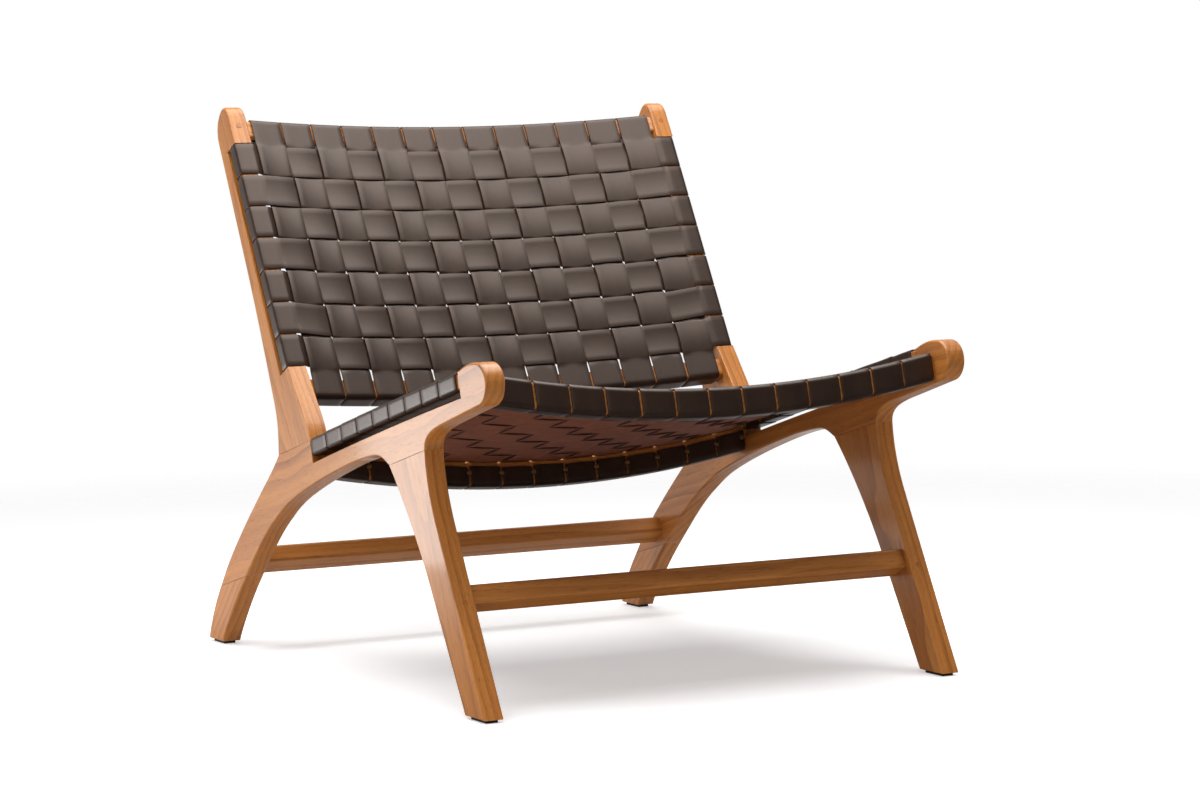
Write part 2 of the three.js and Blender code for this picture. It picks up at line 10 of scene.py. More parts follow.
import bpy
import numpy as np
from mathutils import Matrix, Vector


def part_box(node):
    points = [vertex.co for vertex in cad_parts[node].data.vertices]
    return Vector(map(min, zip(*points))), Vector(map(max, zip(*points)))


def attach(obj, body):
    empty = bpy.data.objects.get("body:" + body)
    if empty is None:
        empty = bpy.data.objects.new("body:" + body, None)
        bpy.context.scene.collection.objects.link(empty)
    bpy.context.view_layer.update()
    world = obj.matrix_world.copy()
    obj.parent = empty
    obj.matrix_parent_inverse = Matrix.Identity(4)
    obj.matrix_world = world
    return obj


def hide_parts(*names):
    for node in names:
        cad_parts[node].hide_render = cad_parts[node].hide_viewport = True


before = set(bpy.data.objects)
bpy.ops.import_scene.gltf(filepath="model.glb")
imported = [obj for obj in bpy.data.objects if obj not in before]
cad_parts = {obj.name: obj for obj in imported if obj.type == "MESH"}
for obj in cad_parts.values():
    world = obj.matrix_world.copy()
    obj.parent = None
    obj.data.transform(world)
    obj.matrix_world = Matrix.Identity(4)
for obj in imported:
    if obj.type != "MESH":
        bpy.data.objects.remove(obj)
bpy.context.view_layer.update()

# %% [markdown]
# ## Sizes
# These are the chair's own sizes in millimetres, as a maker would list them. The surfaces below are worked out in
# millimetres too, and turned into metres only when they are placed.

# %% Sizes of the frame
MM = 0.001
WIDTH, BOARD = 660.0, 25.6
SEAT_HEIGHT, SEAT_SLOPE, SEAT_ZONE, SEAT_START = 400.0, 14.7, 414.0, 9.0
BACK_LEAN, BACK_ZONE = 28.7, 322.0
BAR, SLOT = 15.5, 8.5
RAIL_DEPTH, NOSE, KNEE = 48.0, 67.0, 110.0
LEG_SEAM, SCARF_SEAM = 69.5, 134.0
POST_SET, POST_RISE, POST_TOP = 48.6, 102.3, 58.0
SEAT_FRONT, FRONT_FOOT = 55.0, 48.5
REAR_FOOT_SET, REAR_FOOT = 296.5, 46.0
RAIL_FACE, SEAT_RAIL, BACK_RAIL = 25.0, 31.0, 25.5
RAIL_GAP, BACK_LOW_GAP = 10.0, 15.5
SEAT_SETBACK, BACK_SETBACK, SEAT_FALL = 8.0, 1.5, 2.5
SEAT_BOW, BACK_BOW = 29.5, 26.5
STRETCHER_FACE, STRETCHER_HEIGHT = 33.0, 24.4
GLIDE, EASE, BAR_EASE = 4.0, 4.0, 2.4

OUTER = WIDTH / 2
INNER = OUTER - BOARD
SIDES = {"left": -1, "right": 1}

# %% Sizes of the straps
STRAP, STRAP_GAP, CLEAR = 2.2, 2.6, 0.2
LONG_STRAPS, SEAT_CROSS, BACK_CROSS = 13, 9, 7
SIDE_MARGIN, RAIL_TAIL, BAR_TAIL = 6.5, 7.5, 8.5
REBATE = STRAP + CLEAR
STRAP_FACE = -REBATE
NOTCH = STRAP_FACE - BAR - SLOT
LONG_PITCH = (2 * (INNER - SIDE_MARGIN) + STRAP_GAP) / LONG_STRAPS
STRAP_WIDTH = LONG_PITCH - STRAP_GAP
print(f"straps: {STRAP_WIDTH:.1f} mm wide, one every {LONG_PITCH:.1f} mm")

# %% [markdown]
# ## Three flat drawings
# A side frame is easiest to draw flat. The seat and the back each have their own drawing, turned to their slope,
# with y along the long straps and z out of the leather. The legs are drawn upright on the floor.
# `to_row` carries points from a drawing to the chair: a turn in the side view, then a shift.

# %% The drawings' places
FOOT_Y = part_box("front_leg_left")[0].y / MM


def turned(y, z, degrees):
    """y and z after a turn in the side view."""
    c, s = math.cos(math.radians(degrees)), math.sin(math.radians(degrees))
    return y * c - z * s, y * s + z * c


def to_row(drawing, points):
    """Turn y and z by the drawing's angle, add its place, and change millimetres to metres."""
    x, y, z = np.moveaxis(np.asarray(points, float), -1, 0)
    y, z = turned(y, z, drawing[2])
    return np.stack([x, drawing[0] + y, drawing[1] + z], -1) * MM


def between(source, target, points):
    """Points of one drawing's y and z, as the other drawing sees them."""
    y, z = turned(*np.atleast_2d(points).T, source[2])
    return np.stack(turned(source[0] + y - target[0], source[1] + z - target[1], -target[2]), -1)


FLOOR = (FOOT_Y, 0.0, 0.0)
SEAT = (FOOT_Y + SEAT_FRONT, SEAT_HEIGHT, -SEAT_SLOPE)
BACK = (*between(SEAT, (0.0, 0.0, 0.0), (SEAT_ZONE + POST_SET, POST_RISE))[0], 90 - BACK_LEAN)
print("seat drawing at", np.round(SEAT, 2), "back drawing at", np.round(BACK, 2))

# %% [markdown]
# ## Surfaces and pieces
# Every new shape here is a grid of points: rings of the same count, joined by four-sided faces. One helper makes
# the faces for any such grid, another gathers shells into one object, and the object then rides on the chair's
# body. A pattern such as wood grain has to know which way a board was cut, so each point also carries the
# coordinates of its own board or strap as an attribute, which the materials read.

# %% Helpers for grids and pieces


def grid(*coordinates):
    """Spread coordinates that vary along the rings, round them or both over one grid of points."""
    return np.stack(np.broadcast_arrays(*coordinates), -1)


def shell(rings, pattern):
    """A closed shell over rings of points (rings, count, 3): four-sided faces between neighbouring rings and a flat
    face at each end, all facing outwards."""
    v = rings.reshape(-1, 3)
    at = np.arange(len(v)).reshape(rings.shape[:2])
    beside = np.roll(at, -1, 1)
    quads = grid(at[:-1], beside[:-1], beside[1:], at[1:]).reshape(-1, 4)
    ends = [at[0, ::-1], at[-1]]
    fans = [grid(end[0], end[1:-1], end[2:]) for end in ends]
    triangles = np.concatenate([quads[:, [0, 1, 2]], quads[:, [0, 2, 3]], *fans])
    a, b, c = np.moveaxis((v - v.mean(0))[triangles], 1, 0)
    volume = (a * np.cross(b, c)).sum()
    if volume < 0:
        quads, ends = quads[:, ::-1], [end[::-1] for end in ends]
    return v, [*quads.tolist(), *[end.tolist() for end in ends]], pattern.reshape(-1, 3)


def add(name, data):
    """A new object in the scene."""
    made = bpy.data.objects.new(name, data)
    bpy.context.scene.collection.objects.link(made)
    return made


def build(name, shells, material, attribute, sharp=35.0):
    """Gather shells into one mesh object that rides on the chair, with the pattern stored as an attribute."""
    verts, faces, start = [], [], 0
    for v, f, _ in shells:
        verts.append(v)
        faces.extend([[k + start for k in face] for face in f])
        start += len(v)
    mesh = bpy.data.meshes.new(name)
    mesh.from_pydata(np.concatenate(verts).tolist(), [], faces)
    mesh.attributes.new(attribute, "FLOAT_VECTOR", "POINT")
    pattern = np.concatenate([p for _, _, p in shells]).astype(np.float32)
    mesh.attributes[attribute].data.foreach_set("vector", pattern.ravel())
    mesh.polygons.foreach_set("use_smooth", np.ones(len(faces), bool))
    mesh.set_sharp_from_angle(angle=math.radians(sharp))
    mesh.materials.append(material)
    piece = add(name, mesh)
    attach(piece, "root")
    return piece


# %% [markdown]
# ## Node helpers
# A material is a graph of nodes. `node` adds one, and `fill` gives its inputs values or other nodes' outputs.
# What more than one finish needs, such as the figure of wood, is a node group with named inputs and outputs.

# %% Helpers for materials


def fill(made, inputs):
    """Fill a node's inputs, by name or number, with values or links."""
    for key, value in inputs.items():
        if isinstance(value, bpy.types.NodeSocket):
            made.id_data.links.new(value, made.inputs[key])
        else:
            made.inputs[key].default_value = value


def node(tree, kind, inputs=None, out=0, **settings):
    """Add a node, set its settings, fill its inputs, and return one of its outputs."""
    made = tree.nodes.new(kind)
    for key, value in settings.items():
        setattr(made, key, value)
    fill(made, inputs or {})
    return made.outputs[out]


def maths(tree, operation, a, b=0.0, c=0.0, clamp=False):
    return node(tree, "ShaderNodeMath", {0: a, 1: b, 2: c}, operation=operation, use_clamp=clamp)


def mul_add(tree, a, b, c, clamp=False):
    return maths(tree, "MULTIPLY_ADD", a, b, c, clamp)


def scaled(tree, vector, scale):
    return node(tree, "ShaderNodeVectorMath", {0: vector, 1: scale}, operation="MULTIPLY")


def noise(tree, vector, scale, detail=2.0, rough=0.5):
    inputs = {"Vector": scaled(tree, vector, scale), "Scale": 1.0, "Detail": detail, "Roughness": rough}
    return node(tree, "ShaderNodeTexNoise", inputs)


def blend(tree, factor, a, b):
    return node(tree, "ShaderNodeMix", {0: factor, 6: a, 7: b}, out=2, data_type="RGBA")


def ramp(tree, value, low, high):
    """0 below low, 1 above high, and an even rise between."""
    return node(tree, "ShaderNodeMapRange", {0: value, 1: low, 2: high}, clamp=True)


def new_material(name, **values):
    """A material with one Principled shader, whose plain values are set on its own sockets."""
    material = bpy.data.materials.new(name)
    material.use_nodes = True
    shader = material.node_tree.nodes["Principled BSDF"]
    fill(shader, {key.replace("_", " "): value for key, value in values.items()})
    return material, material.node_tree, shader


def srgb(r, g, b):
    """A colour as a paint chart writes it, 0 to 255, turned into the linear light that shaders use."""
    c = np.array([r, g, b]) / 255
    return (*np.where(c <= 0.04045, c / 12.92, ((c + 0.055) / 1.055) ** 2.4).tolist(), 1.0)


# %% [markdown]
# ## Teak
# Teak is a honey-brown wood with dark growth lines, short dark pores and a fine silky fibre, finished with oil.
# A board is cut out of a log, so its figure is a set of rings round a far-off centre: the group measures that
# distance, bends it with a slow noise, and draws a dark line where each ring ends. Noise squeezed along the grain
# gives fibre and pores. The group is shared by the frame and by the pegs' end grain, each with its own colours.

# %% Wood figure as a node group
SOCKETS = {"INPUT": {"Grain": "Vector", "Pale": "Color", "Dark": "Color", "Ring": "Float", "Figure": "Float"},
           "OUTPUT": {"Color": "Color", "Roughness": "Float", "Height": "Float"}}
figure = bpy.data.node_groups.new("wood_figure", "ShaderNodeTree")
for way, labels in SOCKETS.items():
    for label, kind in labels.items():
        figure.interface.new_socket(label, in_out=way, socket_type=f"NodeSocket{kind}")
given, results = figure.nodes.new("NodeGroupInput").outputs, figure.nodes.new("NodeGroupOutput")
bend = noise(figure, given["Grain"], (2.6, 9.0, 9.0), 3.0)
wobble = noise(figure, given["Grain"], (9.0, 60.0, 60.0), 2.0)
across = scaled(figure, given["Grain"], (0.0, 1.0, 1.0))
reach = node(figure, "ShaderNodeVectorMath", {0: across}, out=1, operation="LENGTH")
reach = mul_add(figure, bend, 0.032, reach)
reach = mul_add(figure, wobble, 0.0022, reach)
ring = maths(figure, "FRACT", maths(figure, "DIVIDE", reach, given["Ring"]))
late = maths(figure, "MULTIPLY", ramp(figure, ring, 0.25, 0.93), ramp(figure, ring, 1.0, 0.96))
season = noise(figure, node(figure, "ShaderNodeCombineXYZ", {0: reach}), (70.0, 1.0, 1.0), 1.0)
late = maths(figure, "MULTIPLY", late, ramp(figure, season, 0.28, 0.72))
fibre = noise(figure, given["Grain"], (14.0, 900.0, 900.0), 3.0, 0.6)
streak = noise(figure, given["Grain"], (2.2, 130.0, 130.0), 3.0, 0.55)
pores = ramp(figure, noise(figure, given["Grain"], (60.0, 1300.0, 1300.0), 1.0), 0.63, 0.72)
cloud = noise(figure, given["Grain"], (3.0, 14.0, 14.0), 2.0)
share = maths(figure, "MULTIPLY", late, given["Figure"])
for change, weight in ((streak, 0.6), (fibre, 0.45), (cloud, 0.5)):
    share = mul_add(figure, maths(figure, "SUBTRACT", change, 0.5), weight, share)
share = maths(figure, "ADD", share, 0.22, clamp=True)
tone = blend(figure, share, given["Pale"], given["Dark"])
shade = mul_add(figure, pores, -0.42, 1.0)
rough = mul_add(figure, fibre, 0.16, 0.33)
fill(results, {"Color": node(figure, "ShaderNodeVectorMath", {0: tone, "Scale": shade}, operation="SCALE"),
               "Roughness": mul_add(figure, pores, 0.2, rough),
               "Height": mul_add(figure, pores, -0.8, fibre)})


def wood(name, pale, dark, ring_size, strength):
    """A wood finish: the figure group feeds colour, roughness and a faint relief."""
    material, tree, shader = new_material(name, Coat_Weight=0.5, Coat_Roughness=0.1,
                                          Specular_Tint=(1.0, 0.84, 0.6, 1.0))
    grain = node(tree, "ShaderNodeAttribute", attribute_name="grain", out=1)
    inputs = {"Grain": grain, "Pale": pale, "Dark": dark, "Ring": ring_size, "Figure": strength}
    made = node(tree, "ShaderNodeGroup", inputs, node_tree=figure).node.outputs
    relief = node(tree, "ShaderNodeBump", {"Height": made["Height"], "Strength": 0.22, "Distance": 0.0003})
    fill(shader, {"Base Color": made["Color"], "Roughness": made["Roughness"], "Normal": relief})
    return material


teak = wood("teak", srgb(208, 134, 62), srgb(150, 80, 31), 0.0085, 0.7)
peg_wood = wood("peg_end_grain", srgb(194, 116, 52), srgb(148, 78, 32), 0.0018, 0.8)
print("finishes:", teak.name, peg_wood.name)

# %% [markdown]
# ## Leather
# The straps are cut from thick dyed hide. Their outer side is espresso brown with a fine pebble and a soft sheen,
# their inner side is bare red-brown hide, and the cut edges are burnished. One material draws all three: the
# attribute's third number says which side a point is on, and its first two measure across and along the strap.

# %% Strap leather
hide, tree, shader = new_material("strap_leather", Specular_IOR_Level=0.6, Specular_Tint=(1.0, 0.84, 0.74, 1.0))
strap_at = node(tree, "ShaderNodeAttribute", attribute_name="strap", out=1)
across, along, side = node(tree, "ShaderNodeSeparateXYZ", {0: strap_at}).node.outputs[:3]
flat = node(tree, "ShaderNodeCombineXYZ", {0: across, 1: along})
pebble = node(tree, "ShaderNodeTexVoronoi", {"Vector": flat, "Scale": 900.0, "Randomness": 1.0})
crease = noise(tree, flat, (420.0, 420.0, 1.0), 3.0, 0.6)
blotch = noise(tree, flat, (38.0, 20.0, 1.0), 3.0)
drawn = noise(tree, flat, (210.0, 7.0, 1.0), 2.0)
depth = mul_add(tree, blotch, 0.75, maths(tree, "MULTIPLY", drawn, 0.4))
espresso = blend(tree, ramp(tree, depth, 0.35, 0.8), srgb(39, 25, 18), srgb(52, 35, 26))
nap = noise(tree, flat, (700.0, 500.0, 1.0), 4.0, 0.7)
flesh = blend(tree, mul_add(tree, blotch, 0.5, maths(tree, "MULTIPLY", nap, 0.5)),
              srgb(112, 55, 32), srgb(152, 82, 50))
is_flesh = ramp(tree, side, 0.1, -0.1)
is_cut = ramp(tree, maths(tree, "ABSOLUTE", side), 0.8, 0.4)
dyed = blend(tree, is_cut, blend(tree, is_flesh, espresso, flesh), srgb(74, 48, 38))
worn = mul_add(tree, crease, 0.12, 0.27)
matt = maths(tree, "SUBTRACT", is_flesh, is_cut, clamp=True)
skin = mul_add(tree, crease, 0.6, pebble)
relief = node(tree, "ShaderNodeBump", {"Height": skin, "Strength": 0.12, "Distance": 0.0002})
fill(shader, {"Base Color": dyed, "Roughness": mul_add(tree, matt, 0.4, worn), "Normal": relief})
print("finish:", hide.name)

# %% [markdown]
# ## Nails and glides
# The nails are old brass, dulled to a dark gold in places. The glides under the feet are black rubber, scuffed a
# little. Both are small, so one noise in Object coordinates changes colour and roughness together.

# %% Brass and rubber


def mottled(name, scale, detail, colours, rough, **values):
    """A finish between two colours and two roughnesses, mixed by one noise."""
    material, tree, shader = new_material(name, **values)
    mix = noise(tree, node(tree, "ShaderNodeTexCoord", out=3), (scale,) * 3, detail)
    fill(shader, {"Base Color": blend(tree, mix, *colours),
                  "Roughness": mul_add(tree, mix, rough[1] - rough[0], rough[0])})
    return material, tree, shader, mix


brass = mottled("nail_brass", 450.0, 3.0, (srgb(150, 125, 80), srgb(205, 178, 120)), (0.22, 0.47), Metallic=1.0)[0]
rubber, tree, shader, scuff = mottled("glide_rubber", 160.0, 4.0, (srgb(18, 17, 17), srgb(48, 46, 44)), (0.6, 0.9))
fill(shader, {"Normal": node(tree, "ShaderNodeBump", {"Height": scuff, "Strength": 0.2, "Distance": 0.0003})})
print("finishes:", brass.name, rubber.name)

# %% [markdown]
# ## Outlines
# The side frames are band-sawn boards, so each is an outline with thickness. An outline is a chain of stretches:
# straight lines, arcs and curves. Each stretch says how far its edges are rounded over, because the real chair is
# soft at the nose and the post's top and crisp where two boards are glued. A glued edge is marked as a seam.

# %% Stretches of an outline


def steps(count):
    """Even shares from 0 towards 1."""
    return np.linspace(0, 1, count, endpoint=False)[:, None]


def line(a, b, count=1):
    """Even steps from a towards b."""
    return np.array(a) + steps(count) * (np.array(b) - np.array(a))


def pull(*points, count=14):
    """A curve from the first point to the last that is drawn towards those between. The weights are the terms of
    ((1-t) + t)^n, so with one point between they are (1-t)^2, 2t(1-t) and t^2."""
    t, n = steps(count), len(points) - 1
    return sum(math.comb(n, k) * (1 - t) ** (n - k) * t ** k * np.array(p) for k, p in enumerate(points))


def arc(middle, radius, start, end, count=24):
    """Points on a circle, from one angle towards another."""
    angle = np.radians(start + steps(count) * (end - start))
    return np.array(middle) + radius * np.concatenate([np.cos(angle), np.sin(angle)], 1)


def through(points, count=10):
    """A smooth curve through points: between two of them a cubic whose slopes are half the step past each."""
    p = np.array(points, float)
    before, after = np.vstack([p[:1], p[:-2]]), np.vstack([p[2:], p[-1:]])
    v0, v1 = (p[1:] - before)[:, None] / 2, (after - p[:-1])[:, None] / 2
    a, b, t = p[:-1, None], p[1:, None], steps(count)
    return ((2 * a - 2 * b + v0 + v1) * t ** 3 + (3 * b - 3 * a - 2 * v0 - v1) * t * t + v0 * t + a).reshape(-1, 2)


def outline(*stretches):
    """Join stretches of (points, roundings at start and end, seam or not) into points, roundings and seams."""
    points = np.concatenate([s[0] for s in stretches])
    rounding = np.concatenate([np.linspace(s[1], s[2], len(s[0])) for s in stretches])
    seam = np.concatenate([np.full(len(s[0]), len(s) > 3) for s in stretches])
    return points, rounding, seam


SEAM = "seam"

# %% [markdown]
# ## Boards
# A board is its outline carried through its thickness. Near each face the outline shrinks along a quarter circle,
# which gives the rounded edge. Where an edge is a seam it hardly shrinks, so that two glued boards meet in a hairline.
# At each corner the shrink has to hold for both edges at once, so it is solved from their two normals.

# %% From an outline to a board
EDGE_STEPS, GROOVE = 5, 0.14


def normals(moves):
    """Directions of length one, a quarter turn to the left of moves in a plane."""
    unit = moves / np.linalg.norm(moves, axis=1)[:, None]
    return np.stack([-unit[:, 1], unit[:, 0]], -1)


def shrink_directions(points, seam):
    """For each corner, the move that brings both its edges one unit inwards, or a small part of it for a seam."""
    inward = normals(np.roll(points, -1, 0) - points)
    first, second = np.roll(inward, 1, 0), inward
    weight = np.where(seam, GROOVE, 1.0)
    w1, w2 = np.roll(weight, 1), weight
    cross = first[:, 0] * second[:, 1] - first[:, 1] * second[:, 0]
    straight = np.abs(cross) < 0.02
    safe = np.where(straight, 1.0, cross)
    corner = np.stack([w1 * second[:, 1] - w2 * first[:, 1], w2 * first[:, 0] - w1 * second[:, 0]], -1) / safe[:, None]
    flat = (first + second) / 2 * ((w1 + w2) / 2)[:, None]
    return np.where(straight[:, None], flat, corner)


def board(drawn, side, drawing, grain, centre):
    """Rings of the outline from the inner face to the outer one, rounded at both, and grain coordinates.
    The grain's direction is an angle in the drawing, and centre is where the log's heart lay."""
    points, rounding, seam = drawn
    area = np.sum(points[:, 0] * np.roll(points[:, 1], -1) - np.roll(points[:, 0], -1) * points[:, 1])
    if area < 0:
        points, rounding, seam = points[::-1], rounding[::-1], np.roll(seam[::-1], -1)
    move = shrink_directions(points, seam)
    angle = np.radians(np.linspace(0, 90, EDGE_STEPS + 1))
    inset, depth = (1 - np.sin(angle))[:, None] * rounding, (1 - np.cos(angle))[:, None] * rounding
    flat = points + np.concatenate([inset, inset[::-1]])[..., None] * move
    x = side * np.concatenate([INNER + depth, OUTER - depth[::-1]])
    rings = np.concatenate([x[..., None], flat], -1)
    return shell(to_row(drawing, rings), grain_of(rings, grain, centre))


def grain_of(points, grain, centre):
    """Metres along the grain, and across and through the log from its heart."""
    x, y, z = np.moveaxis(points, -1, 0)
    return (np.stack([*turned(y, z, -grain), x], -1) + centre) * MM


def wooden(node_name, kind, shells):
    """A teak piece in place of one solid. The large flat faces set its shading, so that the rounded edges run into
    them without a crease."""
    piece = build(f"{node_name}_{kind}", shells, teak, "grain")
    smooth = piece.modifiers.new("even_shading", "WEIGHTED_NORMAL")
    smooth.keep_sharp, smooth.weight = True, 80
    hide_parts(node_name)
    print(piece.name, len(piece.data.polygons), "faces")


# %% [markdown]
# ## Strap bars
# Inside the side rail's top, and the post's front, a slot leaves a slim bar that the cross straps go round. Its
# outer face is set in by the leather's thickness, so that the leather lies flush with the wood. The seat's bar is
# deeper and a little arched along its length. A rounded section carried along the panel gives it, and it is part
# of the same board.

# %% A rounded section and a bar


def rounded_section(low, high, radius, count=5):
    """A rectangle from low to high whose corners are quarter circles, as points in order."""
    (y0, z0), (y1, z1) = np.array(low) + radius, np.array(high) - radius
    ring = []
    for *middle, start in ((y1, z1, 0), (y0, z1, 90), (y0, z0, 180), (y1, z0, 270)):
        ring += [arc(middle, radius, start, start + 90, count), arc(middle, radius, start + 90, 0, 1)]
    return np.concatenate(ring)


BAR_TOP, BAR_FOOT = {"seat": 0.7, "back": STRAP_FACE}, {"seat": -17.8, "back": STRAP_FACE - BAR}
BAR_ARCH = {"seat": 2.1, "back": 0.0}


def bar_top(key, share):
    """Height of the bar's top at a share of its length: a shallow parabola, highest half way."""
    return BAR_TOP[key] + BAR_ARCH[key] * (1 - (2 * share - 1) ** 2)


def strap_bar(key, side, drawing, zone, grain, centre):
    """The bar's section in x and z, carried along y from one end of the straps to the other."""
    x = sorted([side * INNER, side * (OUTER - REBATE)])
    ring = rounded_section((x[0], BAR_FOOT[key]), (x[1], BAR_TOP[key]), BAR_EASE)
    y = np.linspace(0, zone, 24)
    arch = bar_top(key, y / zone) - BAR_TOP[key]
    rings = grid(ring[:, 0], y[:, None], ring[:, 1] + arch[:, None])
    return shell(to_row(drawing, rings), grain_of(rings, grain, centre))


# %% [markdown]
# ## Side rails
# One board makes the rounded nose, the seat's strap bar, the knee that the post stands on and the upper part of the
# rear leg. The rounding is large at the nose and along the arch, small in the notch, and hardly there at the seams.

# %% Side rails
LEG_SEAM_FRONT, LEG_SEAM_REAR = 108.7, 210.0
SCARF_FRONT, SCARF_REAR = SEAT_ZONE + 258, SEAT_ZONE + 346
NOSE_RADIUS, NOSE_TUCK, NOSE_TURN, NOSE_LIP = 25.5, 1.5, 99.0, 2.5
CHIN = np.array([[106, -8], [92, -3.5], [60, -1.6]]) - [0, RAIL_DEPTH]
FILLET = np.array([[108, -0.8], [50, -2.5], [22, -7]]) + [LEG_SEAM_REAR, -RAIL_DEPTH]
ARCH = np.array([[195.5, -51.8], [149.5, -32.3], [90.5, -15.6], [0, -5.3]]) + [SEAT_ZONE, -RAIL_DEPTH]
HEEL = np.array([[137, -15.5], [196, -44.6], [254, -74.6], [308, -106.1]]) + [SEAT_ZONE, 0]
SOFT, CRISP, NOSE_SOFT, ARCH_SOFT = 2.2, 0.8, 3.2, 2.8
nose = np.array([NOSE_RADIUS - NOSE, NOSE_RADIUS + NOSE_TUCK - RAIL_DEPTH])
leg_front, leg_rear = (LEG_SEAM_FRONT, -LEG_SEAM), (LEG_SEAM_REAR, -LEG_SEAM)
turn_end = arc(nose, NOSE_RADIUS, NOSE_TURN, 0, 1)[0]
knee = (SEAT_ZONE + KNEE, 0.0)
SEAT_END, SEAT_NOTCH = SEAT_START + SEAT_ZONE, NOTCH - 2.0
scarf_rear, scarf_front = (SCARF_REAR, -SCARF_SEAM), (SCARF_FRONT, -SCARF_SEAM)
side_rail_outline = outline(
    (pull(leg_front, *CHIN, count=16), SOFT, ARCH_SOFT),
    (line(CHIN[2], nose - [0, NOSE_RADIUS], 8), ARCH_SOFT, NOSE_SOFT),
    (arc(nose, NOSE_RADIUS, -90, NOSE_TURN - 360, 40), NOSE_SOFT, NOSE_SOFT),
    (pull(turn_end, (-24, 9), (0, NOSE_LIP)), NOSE_SOFT, SOFT),
    (line((0, NOSE_LIP), (0, SEAT_NOTCH), 2), CRISP, CRISP),
    (pull((0, SEAT_NOTCH), (SEAT_END / 2, SEAT_NOTCH + 4), (SEAT_END, SEAT_NOTCH)), CRISP, CRISP),
    (line((SEAT_END, SEAT_NOTCH), (SEAT_END, 0), 2), CRISP, CRISP),
    (line((SEAT_END, 0), knee, 4), CRISP, SOFT, SEAM),
    (through([knee, *HEEL, scarf_rear]), SOFT, SOFT),
    (line(scarf_rear, scarf_front, 2), SOFT, SOFT, SEAM),
    (through([scarf_front, *ARCH, *FILLET, leg_rear]), ARCH_SOFT, SOFT),
    (line(leg_rear, leg_front, 2), SOFT, SOFT, SEAM))

HEARTS = {"left": (310.0, 95.0, 40.0), "right": (1240.0, -120.0, -75.0)}
for name, side in SIDES.items():
    shells = [board(side_rail_outline, side, SEAT, 0.0, HEARTS[name]),
              strap_bar("seat", side, SEAT, SEAT_END, 0.0, HEARTS[name])]
    wooden(f"side_rail_{name}", "board", shells)

# %% [markdown]
# ## Legs
# The front leg opens into the rail with two curves, and stands on a foot cut level. The rear leg's lower end is a
# second piece, glued on at a slant, because the whole curve would need a very wide board. Grain runs down each leg.

# %% Legs


def under(point, forward, down):
    """A point in front of another and below it."""
    return point[0] - forward, point[1] - down


def half_way_down(top, fall):
    """The pull point of a rear edge: half way down to the foot, along the slope at its top."""
    half = (top[1] - GLIDE) / 2
    return top[0] + half * math.tan(math.radians(fall)), top[1] - half


LEG_SOFT, REAR_SOFT, FOOT_SOFT, SLIGHT = 2.5, 2.0, 1.5, 1.2
seam_front, seam_rear = between(SEAT, FLOOR, [leg_front, leg_rear])
bend_front, bend_rear = under(seam_front, 26.4, 84), under(seam_rear, 107.7, 139.1)
front_leg_outline = outline(
    (line((0, GLIDE), bend_front, 10), FOOT_SOFT, LEG_SOFT),
    (pull(bend_front, under(seam_front, 4, 42), seam_front), LEG_SOFT, SOFT),
    (line(seam_front, seam_rear, 2), SOFT, SOFT, SEAM),
    (pull(seam_rear, under(seam_rear, 61.1, 63.2), bend_rear, count=18), SOFT, LEG_SOFT),
    (line(bend_rear, (FRONT_FOOT, GLIDE), 10), LEG_SOFT, FOOT_SOFT),
    (line((FRONT_FOOT, GLIDE), (0, GLIDE), 3), SLIGHT, SLIGHT))

end_front, end_rear = between(SEAT, FLOOR, [scarf_front, scarf_rear])
rear_foot = SEAT_FRONT + SEAT_ZONE * math.cos(math.radians(SEAT_SLOPE)) + REAR_FOOT_SET
rear_leg_outline = outline(
    (pull(end_front, half_way_down(end_front, 46), (rear_foot, GLIDE), count=18), ARCH_SOFT, REAR_SOFT),
    (line((rear_foot, GLIDE), (rear_foot + REAR_FOOT, GLIDE), 3), SLIGHT, SLIGHT),
    (pull((rear_foot + REAR_FOOT, GLIDE), half_way_down(end_rear, 39), end_rear, count=18), REAR_SOFT, SOFT),
    (line(end_rear, end_front, 2), SOFT, SOFT, SEAM))

FRONT_GRAIN, REAR_GRAIN = 66.0, -48.0
for name, side in SIDES.items():
    leg = board(front_leg_outline, side, FLOOR, FRONT_GRAIN, (2000.0 + 333 * side, 70.0, 55.0 * side))
    wooden(f"front_leg_{name}", "board", [leg])
    leg = board(rear_leg_outline, side, FLOOR, REAR_GRAIN, (3100.0 + 217 * side, -90.0, 60.0 * side))
    wooden(f"rear_leg_{name}", "end", [leg])

# %% [markdown]
# ## Back posts
# The posts stand on the knee with a glued seam and lean back. Their tops are rounded all over, like a thumb.

